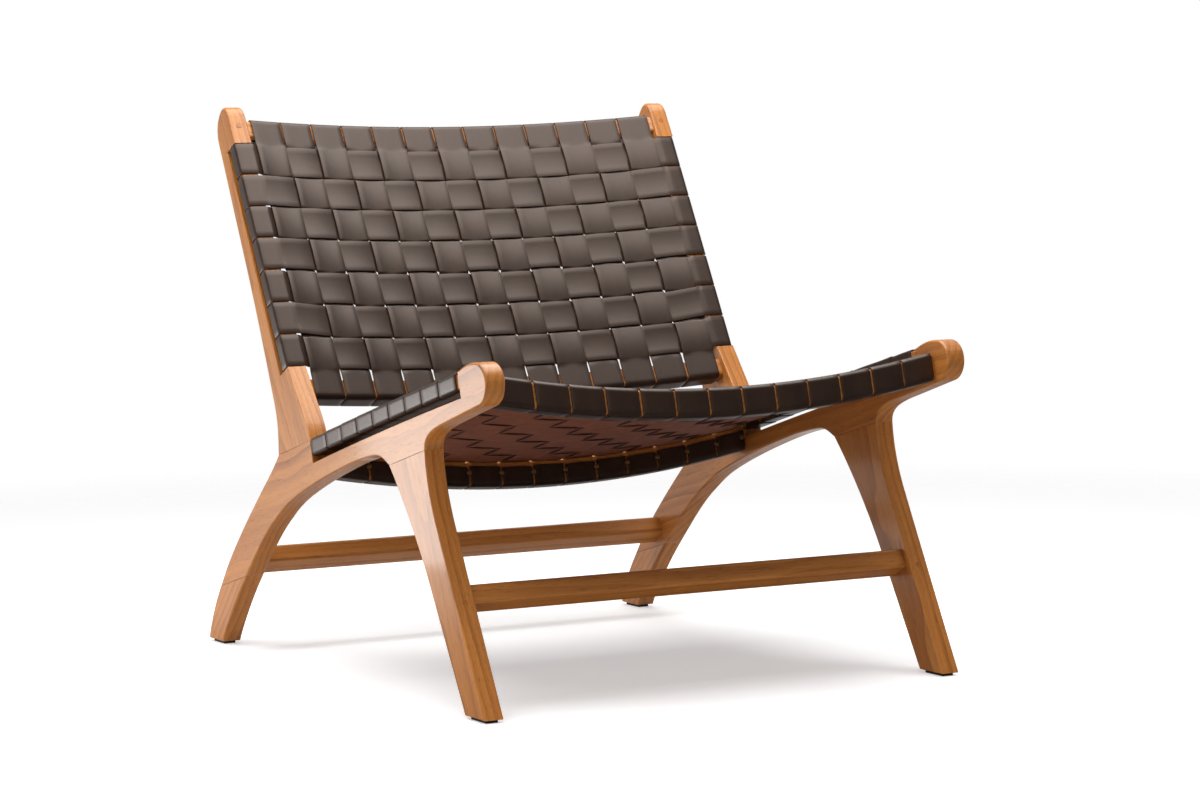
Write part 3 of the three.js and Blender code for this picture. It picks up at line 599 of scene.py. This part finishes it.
# %% Back posts
INSTEP = [(-83, 13.8), (-32, 5.5)]
SPINE = [(120, -52.8), (9, -60.4), (-44, -66.4)]
NAPE = (BACK_ZONE - 61, -49)
CROWN = np.array([[-19, -0.5], [-4, -1], [6, -10], [-2, -27], [-9, -42.5], [-30, -47]]) + [BACK_ZONE + POST_TOP, 0]
BROW_SOFT, CROWN_SOFT, NECK_SOFT = 3.0, 5.5, 4.0
toe, heel = between(SEAT, BACK, [(SEAT_END, 0), knee])
post_outline = outline(
    (through([toe, *INSTEP, (0, 0)]), SLIGHT, SLIGHT),
    (line((0, 0), (0, NOTCH), 2), CRISP, CRISP),
    (line((0, NOTCH), (BACK_ZONE, NOTCH), 6), CRISP, CRISP),
    (line((BACK_ZONE, NOTCH), (BACK_ZONE, 0), 2), CRISP, CRISP),
    (line((BACK_ZONE, 0), CROWN[0], 6), SOFT, BROW_SOFT),
    (pull(*CROWN[:4], count=16), BROW_SOFT, CROWN_SOFT),
    (pull(*CROWN[3:]), CROWN_SOFT, NECK_SOFT),
    (through([CROWN[5], NAPE, *SPINE, heel]), NECK_SOFT, SOFT),
    (line(heel, toe, 3), SOFT, SOFT, SEAM))
POST_GRAIN = -2.0
for name, side in SIDES.items():
    centre = (4200.0 + 410 * side, 130.0, 45.0 * side)
    shells = [board(post_outline, side, BACK, POST_GRAIN, centre),
              strap_bar("back", side, BACK, BACK_ZONE, POST_GRAIN, centre)]
    wooden(f"back_post_{name}", "board", shells)

# %% [markdown]
# ## Bowed rails and stretchers
# Four rails carry the long straps. They are bowed, so that seat and back are dished: a rounded section is carried
# along a shallow parabola. The two stretchers are the same section without a bow, turned to the slope of the legs.

# %% Bowed rails
PANELS = {
    "seat": dict(drawing=SEAT, zone=SEAT_ZONE, count=SEAT_CROSS, setback=SEAT_SETBACK, fall=SEAT_FALL,
                 bow=SEAT_BOW, depth=SEAT_RAIL, low=-RAIL_GAP, high=SEAT_ZONE + RAIL_GAP,
                 start=SEAT_START, cross_width=44.4, spread=1.008, shift=1.6),
    "back": dict(drawing=BACK, zone=BACK_ZONE, count=BACK_CROSS, setback=BACK_SETBACK, fall=0.0,
                 bow=BACK_BOW, depth=BACK_RAIL, low=-BACK_LOW_GAP, high=BACK_ZONE + RAIL_GAP,
                 start=0.0, cross_width=STRAP_WIDTH, spread=1.0, shift=0.0),
}


def dish(panel, x):
    """Height of the rails' strap face over the panel's line: a parabola that is lowest in the middle."""
    return STRAP_FACE - panel["setback"] - panel["bow"] * (1 - (np.asarray(x) / INNER) ** 2)


def drop(panel, y):
    """How much lower the weave lies at a y: the seat's rear rail is lower than its front one."""
    return panel["fall"] * np.clip(np.asarray(y) / panel["zone"], 0, 1)


def cross_rail(panel, inner, outward, centre):
    """The rail's section in y and z, carried along x and lowered by the dish. Its grain runs along x too."""
    y = sorted([inner, inner + outward * RAIL_FACE])
    ring = rounded_section((y[0], -panel["depth"]), (y[1], 0.0), EASE)
    x = np.linspace(-INNER, INNER, 49)
    lift = dish(panel, x) - drop(panel, inner)
    rings = grid(x[:, None], ring[:, 0], ring[:, 1] + lift[:, None])
    return shell(to_row(panel["drawing"], rings), (rings + centre) * MM)


RAILS = [("seat_front_rail", "seat", "low", -1), ("seat_rear_rail", "seat", "high", 1),
         ("back_lower_rail", "back", "low", -1), ("back_top_rail", "back", "high", 1)]
for k, (name, key, end, outward) in enumerate(RAILS):
    rail = cross_rail(PANELS[key], PANELS[key][end], outward, (5000.0 + 900 * k, 60.0 + 25 * k, 80.0))
    wooden(name, "bowed", [rail])

# %% Stretchers


def stretcher(drawing, y, z, tilt, centre):
    """A rounded section along x, turned by the tilt about its own middle."""
    half = np.array([STRETCHER_FACE, STRETCHER_HEIGHT]) / 2
    ring = rounded_section(-half, half, EASE)
    x = np.linspace(-INNER, INNER, 3)[:, None]
    rings = grid(x, *turned(*ring.T, tilt)) + (0.0, y, z)
    return shell(to_row(drawing, rings), (grid(x, *ring.T) + centre) * MM)


FRONT_STRETCHER_AT, REAR_STRETCHER_AT = 132.0, (SEAT_ZONE + 281, -111)
FRONT_TILT, REAR_TILT = -30, -37
rise = FRONT_STRETCHER_AT - GLIDE
leg_face = bend_front[0] * rise / (bend_front[1] - GLIDE)
leg_rear_edge = FRONT_FOOT + (bend_rear[0] - FRONT_FOOT) * rise / (bend_rear[1] - GLIDE)
front = stretcher(FLOOR, (leg_face + leg_rear_edge) / 2, FRONT_STRETCHER_AT, FRONT_TILT, (8800.0, 70.0, 30.0))
wooden("front_stretcher", "rail", [front])
rear = stretcher(SEAT, *REAR_STRETCHER_AT, SEAT_SLOPE + REAR_TILT, (9900.0, -60.0, 45.0))
wooden("rear_stretcher", "rail", [rear])

# %% [markdown]
# ## A strap
# A strap is a flat section carried along a path. The path starts at the nailed end on a bar's inner face, goes
# round the bar, over and under the straps that it crosses, and round the bar on the other side. It is drawn as
# straight runs and arcs, walked at an even pace, and smoothed a little, because thick leather can't fold sharply.
# Where it bends most it keeps the most points.

# %% Path of a strap
AIR, PAST_EDGE = 0.15, 0.4
LIFT, WEAVE = STRAP / 2 + AIR, (STRAP + AIR) / 2
PACE, SOFT_BEND, BELL_REACH = 0.5, 1.0, 8
SPARSE, DENSER, FULL_TURN, EDGE_REACH = 0.22, 1.1, 0.1, 3.0


def wrap(length, depth, ease, tail, leave, bend):
    """Path round a bar from its inner face: q outwards, n up from the strap face. It leaves the inner edge by an
    angle, on an arc whose radius is the bend."""
    r, turn_at = ease + LIFT, bend * math.sin(math.radians(leave)) - PAST_EDGE
    return np.concatenate([
        line((-LIFT, -tail), (-LIFT, ease - depth), 6),
        arc((ease, ease - depth), r, 180, 270, 8),
        line((ease, -depth - LIFT), (length - ease, -depth - LIFT), 6),
        arc((length - ease, ease - depth), r, 270, 360, 8),
        line((length + LIFT, ease - depth), (length + LIFT, -ease), 6),
        arc((length - ease, -ease), r, 0, 90, 8),
        line((length - ease, LIFT), (turn_at, LIFT), 6),
        arc((turn_at, LIFT - bend), bend, 90, 90 + leave, 6)])


def walk(path):
    """Even steps along the path, then each point is the average of its neighbours, weighted like a bell."""
    run = np.concatenate([[0], np.cumsum(np.linalg.norm(np.diff(path, axis=0), axis=1))])
    even = np.arange(0, run[-1], PACE)
    points = np.stack([np.interp(even, run, path[:, k]) for k in (0, 1)], -1)
    bell = np.exp(-0.5 * (np.arange(-BELL_REACH, BELL_REACH + 1) * PACE / SOFT_BEND) ** 2)
    padded = np.pad(points, ((BELL_REACH, BELL_REACH), (0, 0)), mode="reflect", reflect_type="odd")
    return np.stack([np.convolve(padded[:, k], bell / bell.sum(), "valid") for k in (0, 1)], -1), even


def thin_out(path, run, edges):
    """Keep a point every few millimetres, more of them where the path turns and next to the crossings' edges."""
    heading = np.unwrap(np.arctan2(*np.gradient(path, axis=0).T[::-1]))
    turning = np.clip(np.abs(np.gradient(heading)) / PACE / FULL_TURN, 0, 1)
    near = np.exp(-(np.abs(path[:, :1] - edges[None]).min(1) / EDGE_REACH) ** 2)
    count = np.cumsum(SPARSE + DENSER * np.maximum(turning, near)) * PACE
    keep = np.diff(np.floor(count), prepend=-1) > 0
    keep[-1] = True
    return path[keep], run[keep]


# %% [markdown]
# ## The weave's shape
# Where two straps cross, the upper one arches over the lower one along its run, and the lower one lifts the upper
# one's edges: together they take the shape of a saddle. So a strap's height is a chain of parabolas along its
# middle, up over one strap and down under the next, and a second parabola across its width that changes sign with
# the first. The change happens in the narrow gap between two straps.

# %% Heights in the weave


def edges_of(middles, end):
    """The middles between neighbours, and a place past the first and the last."""
    return np.array([middles[0] - end, *(middles[1:] + middles[:-1]) / 2, middles[-1] + end])


def weave_height(a, middles, signs):
    """Height of the strap's middle: in each crossing sign * WEAVE * (1 - u^2), with u from -1 to 1 across it."""
    k = np.abs(a[:, None] - middles[None]).argmin(1)
    half = np.abs(np.diff(middles)).mean() / 2
    u = np.clip((a - middles[k]) / half, -1, 1)
    return signs[k] * WEAVE * (1 - u * u)


def weave_side(a, middles, signs):
    """1 where the strap is over, -1 where it is under, 0 past the weave, with a short even change between."""
    edges = edges_of(middles, np.abs(np.diff(middles)).mean() / 2)
    inner = np.stack([edges[:-1] + STRAP_GAP / 2, edges[1:] - STRAP_GAP / 2], -1).ravel()
    at = [inner[0] - 2 * STRAP_GAP, *inner, inner[-1] + 2 * STRAP_GAP]
    return np.interp(a, at, [0, *np.repeat(signs, 2), 0]), edges


# %% Section of a strap


def strap_section(width):
    """Points round the strap's section: two flat sides and two cut edges with small rounded corners, and each
    point's side: 1 outside, 0 on a cut edge, -1 inside."""
    half, thick, r = width / 2, STRAP / 2, 0.3
    top = np.stack([np.linspace(half - r, r - half, 7), np.full(7, thick), np.ones(7)], -1)
    turn = np.radians([135, 180, 180, 225])
    up = np.array([1, 1, -1, -1]) * (thick - r) + r * np.sin(turn)
    left = np.stack([r - half + r * np.cos(turn), up, [0.35, 0.0, 0.0, -0.35]], -1)
    low = np.stack([np.linspace(r - half, half - r, 5), np.full(5, -thick), -np.ones(5)], -1)
    right = left[::-1] * [-1, 1, 1]
    return np.concatenate([top, left, low, right])


def ribbon(path, run, side, put_point, start, width):
    """Carry the section along the path: its thickness follows the path's normal, and in the weave its edges rise
    or fall with the square of the distance from its middle."""
    out = normals(np.gradient(path, axis=0))
    e, up, face = strap_section(width).T
    cup = side[:, None] * WEAVE * (2 * e / LONG_PITCH) ** 2
    a = path[:, :1] + out[:, :1] * up
    n = path[:, 1:] + out[:, 1:] * up + cup
    return put_point(a, n, e), grid(e * MM, (run[:, None] + start) * MM, face)


# %% [markdown]
# ## Weaving the panels
# A long strap lies on the dished rails, so its height is the dish at its own x. A cross strap follows the dish along
# its path, and only rises to the bars at its ends. Straps of equal parity go over, the others under: a plain weave.
# Real straps aren't cut and pulled quite alike, so each is moved by a few tenths of a millimetre, and in the back
# the cross straps have settled downwards by up to three millimetres.

# %% Long straps and cross straps
chance = np.random.default_rng(7)
SETTLED = {"seat": np.zeros(SEAT_CROSS), "back": np.array([-3.2, -3.2, -1.2, 0.3, 0.4, -0.6, -2.4])}
SETTLE_REACH = 40.0
LEAVE, BEND = {"seat": 44.0, "back": 9.0}, {"seat": BAR_EASE + LIFT, "back": 36.0}


def over(i, j):
    """1 where a long strap passes over a cross strap, -1 where it passes under it."""
    return 1 - 2 * ((np.asarray(i) + np.asarray(j)) % 2)


def long_x(panel):
    """Middles of the long straps; in the seat they have crept a little to the right."""
    return panel["shift"] + (np.arange(LONG_STRAPS) - (LONG_STRAPS - 1) / 2) * LONG_PITCH * panel["spread"]


def cross_y(panel):
    """Middles of the cross straps before they settle."""
    return panel["start"] + (np.arange(panel["count"]) + 0.5) * panel["zone"] / panel["count"]


def strap_path(low, high, bar, face, middles, signs, base, margin=LONG_PITCH / 2):
    """Round the low bar, through the weave, round the high bar; base lifts the woven part to its panel, and the
    weave begins and ends at a margin past the outer crossings' middles."""
    turn = wrap(*bar) + [0, face]
    woven_at = np.linspace(middles[0] - margin, middles[-1] + margin, 40 * len(middles))
    woven = np.stack([woven_at, LIFT + weave_height(woven_at, middles, signs) + base(woven_at)], -1)
    first, last = turn * [-1, 1] + [low, 0], (turn + [high, 0])[::-1]
    path, run = walk(np.concatenate([first, woven, last]))
    path, run = thin_out(path, run, weave_side(path[:, 0], middles, signs)[1])
    return path, run, weave_side(path[:, 0], middles, signs)[0]


def long_strap(key, i):
    """A strap from rail to rail, at one x."""
    panel = PANELS[key]
    middles = cross_y(panel) + SETTLED[key]
    signs = over(i, np.arange(panel["count"]))
    bar = (RAIL_FACE, panel["depth"], EASE, RAIL_TAIL, 0.0, EASE + LIFT)
    path, run, side = strap_path(panel["low"], panel["high"], bar, 0.0, middles, signs, np.zeros_like)
    shift, swing = chance.uniform(-0.25, 0.25), chance.uniform(-0.0008, 0.0008)

    def put_point(a, n, e):
        """Across by the strap's own x, up by the dish there."""
        x = long_x(panel)[i] + e + shift + swing * (a - panel["zone"] / 2)
        return np.stack([x, a, n + dish(panel, x) - drop(panel, a)], -1)

    points, pattern = ribbon(path, run, side, put_point, 1500.0 * i, STRAP_WIDTH)
    return shell(to_row(panel["drawing"], points), pattern), run[-1], STRAP_WIDTH


def cross_strap(key, j):
    """A strap from strap bar to strap bar, at one y."""
    panel = PANELS[key]
    signs = -over(np.arange(LONG_STRAPS), j)
    top = bar_top(key, cross_y(panel)[j] / (panel["start"] + panel["zone"]))
    depth, tail = BAR_TOP[key] - BAR_FOOT[key], BAR_TAIL + top - STRAP_FACE
    bar = (BOARD - REBATE, depth, BAR_EASE, tail, LEAVE[key], BEND[key])
    margin = 0.0 if key == "back" and signs[0] > 0 else LONG_PITCH / 2
    path, run, side = strap_path(-INNER, INNER, bar, top, long_x(panel), signs, lambda x: dish(panel, x), margin)
    shift, swing = chance.uniform(-0.35, 0.35), chance.uniform(-0.0008, 0.0008)

    def put_point(a, n, e):
        """Along by the strap's own y, which settles inside the bars; the seat's fall lowers the woven part."""
        inside = np.clip((INNER - np.abs(a)) / SETTLE_REACH, 0, 1)
        y = cross_y(panel)[j] + e + shift + swing * a + SETTLED[key][j] * inside
        in_weave = np.clip((INNER - np.abs(a)) / SIDE_MARGIN, 0, 1)
        return np.stack([a, y, n - drop(panel, y) * in_weave], -1)

    points, pattern = ribbon(path, run, side, put_point, 1500.0 * (j + 20), panel["cross_width"])
    return shell(to_row(panel["drawing"], points), pattern), run[-1], panel["cross_width"]


def finish_strap(node_name, made):
    surface, length, width = made
    piece = build(f"{node_name}_leather", [surface], hide, "strap", 50.0)
    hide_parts(node_name)
    return f"{length:.0f} mm long"


LONG_NAMES = {"seat": "seat_long_strap", "back": "back_upright_strap"}
for key, panel in PANELS.items():
    for i in range(LONG_STRAPS):
        length = finish_strap(f"{LONG_NAMES[key]}_{i + 1:02d}", long_strap(key, i))
    print(key, "long straps", length)
    for j in range(panel["count"]):
        length = finish_strap(f"{key}_cross_strap_{j + 1}", cross_strap(key, j))
    print(key, "cross straps", length)

# %% [markdown]
# ## Nails
# A domed nail sits over each gap and holds the ends of both straps, and one more sits near each end of a row. There
# are many, so each dome is only a few rings of points. All the nails of a panel make one piece.

# %% Domed nails
NAIL_RADIUS, NAIL_HEIGHT, NAIL_SUNK, NAIL_SIDES = 3.8, 2.3, 0.8, 10
NAIL_INSET, RAIL_NAIL, BAR_NAIL = 4.5, 8.0, 3.6


def dome():
    """A low dome: rings of the radius times sin, at the height times cos, from the base to near the top."""
    tilt = np.radians([90, 90, 62, 36, 12])
    turn = np.arange(NAIL_SIDES) * 2 * np.pi / NAIL_SIDES
    reach, height = NAIL_RADIUS * np.sin(tilt)[:, None], NAIL_HEIGHT * np.cos(tilt) + [-NAIL_SUNK, 0, 0, 0, 0]
    return grid(reach * np.cos(turn), reach * np.sin(turn), height[:, None])


def nails(drawing, places, outs):
    """One dome at each place, standing along its out direction in the drawing."""
    shells = []
    for place_at, out in zip(places, outs):
        out = np.array(out, float)
        first = np.cross(out, [0.0, 0.0, 1.0])
        second = np.cross(out, first)
        points = np.array(place_at) + dome() @ np.stack([first, second, out])
        shells.append(shell(to_row(drawing, points), points * MM))
    return shells


for key, panel in PANELS.items():
    places, outs = [], []
    across = edges_of(long_x(panel), STRAP_WIDTH / 2 - NAIL_INSET)
    for inner, outward in ((panel["low"], -1), (panel["high"], 1)):
        z = dish(panel, across) - drop(panel, inner) - RAIL_TAIL - RAIL_NAIL
        places.extend(grid(across, inner - outward * REBATE, z))
        outs.extend([(0, -outward, 0)] * len(z))
    along = edges_of(cross_y(panel), panel["cross_width"] / 2 - NAIL_INSET)
    for side in SIDES.values():
        places.extend(grid(side * (INNER - REBATE), along, STRAP_FACE - BAR_TAIL - BAR_NAIL))
        outs.extend([(-side, 0, 0)] * len(along))
    piece = build(f"{key}_nails", nails(panel["drawing"], places, outs), brass, "nail", 80.0)
    print(piece.name, len(places), "nails")

# %% [markdown]
# ## Pegs
# Small wooden pegs close the holes over the tenons, on the narrow faces of posts and legs. Each is a flat button of
# end grain, a hair proud of the wood, with a softened rim.

# %% Pegs
PEG_RADIUS, PEG_PROUD = 3.8, 0.15
LEG_PEG_TURN, POST_PEGS = 154, ((348.0, 0.0), (-21.5, 3.0))


def peg(drawing, middle, face_turn):
    """A button whose face looks along an angle in the drawing, from a point on the board's narrow face."""
    turn = np.arange(24) * 2 * np.pi / 24
    reach = np.array([1.0, 1.0, 0.95, 0.6])[:, None] * PEG_RADIUS
    up = np.array([-1.5, 0.0, PEG_PROUD, PEG_PROUD + 0.05])[:, None]
    u, v = reach * np.cos(turn), reach * np.sin(turn)
    points = grid(u, *turned(up, v, face_turn)) + middle
    return shell(to_row(drawing, points), grid(up, u, v) * MM)


for name, side in SIDES.items():
    x = side * (INNER + BOARD / 2)
    shells = [peg(FLOOR, (x, leg_face, FRONT_STRETCHER_AT), LEG_PEG_TURN)]
    shells += [peg(BACK, (x, *place), 90) for place in POST_PEGS]
    print(name, "pegs", len(shells))
    piece = build(f"pegs_{name}", shells, peg_wood, "grain")

# %% [markdown]
# ## Foot glides
# The glides are plain pads, so the frame's own solids stay. Their meshes are loose triangles: a Weld joins them and
# a small Bevel softens the rim.

# %% Foot glides
for end in ("front", "rear"):
    for name in SIDES:
        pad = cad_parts[f"foot_glide_{end}_{name}"]
        pad.data.materials.clear()
        pad.data.materials.append(rubber)
        pad.modifiers.new("join", "WELD").merge_threshold = 0.00001
        rim = pad.modifiers.new("rim", "BEVEL")
        rim.width, rim.segments = 0.0008, 2
print("glides: 4")

# %% [markdown]
# ## Floor, light and camera
# The chair stands in a bright studio. A pale floor takes its soft shadow and fades into a white surround; from below
# it is clear, so that the underside can be seen. A wide lamp overhead gives the back its sheen, weaker ones light
# the left side and the front, and a small one behind on the left is mirrored in the near side's outer faces. The
# world fills the shadows. The camera is long and low, a little above the seat, on the chair's left front.

# %% Floor
REACH = 15.0
floor_mesh = bpy.data.meshes.new("studio_floor")
corners = [(-REACH, -REACH, 0), (REACH, -REACH, 0), (REACH, REACH, 0), (-REACH, REACH, 0)]
floor_mesh.from_pydata(corners, [], [(0, 1, 2, 3)])
floor = add("studio_floor", floor_mesh)
paper, tree, shader = new_material("studio_paper", Roughness=1.0, Specular_IOR_Level=0.0,
                                   Emission_Color=(1.0, 1.0, 1.0, 1.0))
path = tree.nodes.new("ShaderNodeLightPath").outputs
spot = node(tree, "ShaderNodeTexCoord", out=3)
behind = ramp(tree, node(tree, "ShaderNodeSeparateXYZ", {0: spot}, out=1), 0.2, 0.6)
mirrored = maths(tree, "MULTIPLY", path["Is Glossy Ray"], behind)
glow = mul_add(tree, path["Is Camera Ray"], 0.45, maths(tree, "MULTIPLY", mirrored, 0.7))
paint = blend(tree, path["Is Glossy Ray"], (0.86, 0.86, 0.86, 1.0), (0.1, 0.1, 0.1, 1.0))
from_middle = node(tree, "ShaderNodeVectorMath", {0: spot}, out=1, operation="LENGTH")
from_above = maths(tree, "SUBTRACT", 1.0, node(tree, "ShaderNodeNewGeometry", out=6))
shown = maths(tree, "MULTIPLY", ramp(tree, from_middle, 2.6, 1.1), from_above)
fill(shader, {"Base Color": paint, "Emission Strength": glow, "Alpha": shown})
floor_mesh.materials.append(paper)

# %% World and lamps
world = bpy.data.worlds.new("studio")
world.use_nodes = True
bpy.context.scene.world = world
tree = world.node_tree
path = tree.nodes.new("ShaderNodeLightPath").outputs
seen = maths(tree, "ADD", path["Is Camera Ray"], path["Is Transmission Ray"])
towards = node(tree, "ShaderNodeSeparateXYZ", {0: node(tree, "ShaderNodeNewGeometry", out=4)}, out=1)
behind = maths(tree, "MULTIPLY", ramp(tree, towards, 0.0, -0.35), 0.5)
seen = mul_add(tree, path["Is Glossy Ray"], behind, seen, clamp=True)
FILL = 0.1
strength = mul_add(tree, seen, 1.0 - FILL, FILL)
fill(tree.nodes["Background"], {"Color": (1.0, 1.0, 1.0, 1.0), "Strength": strength})


def look(away):
    """Axes of a thing that looks against this direction: right, up, and away from what it sees."""
    back = np.array(away) / np.linalg.norm(away)
    right = np.cross([0.0, 0.0, 1.0], back)
    right /= np.linalg.norm(right)
    return np.stack([right, np.cross(back, right), back], -1).tolist()


def lamp(name, at, aim, size, glow):
    """A soft lamp of width and height that looks at a point; its glow is the brightness of its face."""
    data = bpy.data.lights.new(name, "AREA")
    data.shape, data.size, data.size_y = "RECTANGLE", *size
    data.energy = glow * math.pi * math.prod(size)
    made = add(name, data)
    made.location = at
    made.rotation_euler = Matrix(look(np.array(at) - np.array(aim))).to_euler()
    made.visible_camera = False


lamp("overhead", (-0.3, 0.0, 2.1), (-0.3, 0.05, 0.0), (3.0, 1.8), 4.4)
lamp("overhead_front", (0.3, -1.1, 2.1), (0.3, -1.05, 0.0), (3.0, 0.4), 1.5)
lamp("side_left", (-3.0, 0.2, 0.6), (0.0, 0.0, 0.3), (1.6, 1.2), 1.3)
lamp("front", (-0.6, -3.2, 1.4), (0.0, 0.0, 0.3), (2.0, 1.2), 0.8)
lamp("sheen_left", (-1.06, 0.88, 0.17), (-0.33, -0.4, 0.25), (0.5, 0.34), 5.2)
bpy.context.scene.view_settings.view_transform = "Standard"

# %% Camera
FOCAL_PIXELS, PHOTO_WIDTH = 3610.0, 1200.0
AZIMUTH, ELEVATION, ROLL = -29.23, 4.56, -0.65
CAMERA_AT = (-2209.35, FOOT_Y - 3638.5, 697.77)
a, e, r = (math.radians(k) for k in (AZIMUTH, ELEVATION, ROLL))
axes = np.array(look((math.sin(a) * math.cos(e), -math.cos(a) * math.cos(e), math.sin(e))))
roll = np.array([[math.cos(r), -math.sin(r), 0], [math.sin(r), math.cos(r), 0], [0, 0, 1]])
view = bpy.data.cameras.new("photo_view")
view.sensor_width = 36.0
view.lens = FOCAL_PIXELS * view.sensor_width / PHOTO_WIDTH
camera = add("photo_view", view)
camera.matrix_world = Matrix.Translation(np.array(CAMERA_AT) * MM) @ Matrix((axes @ roll).tolist()).to_4x4()
bpy.context.scene.camera = camera
print("camera:", round(view.lens, 1), "mm lens")
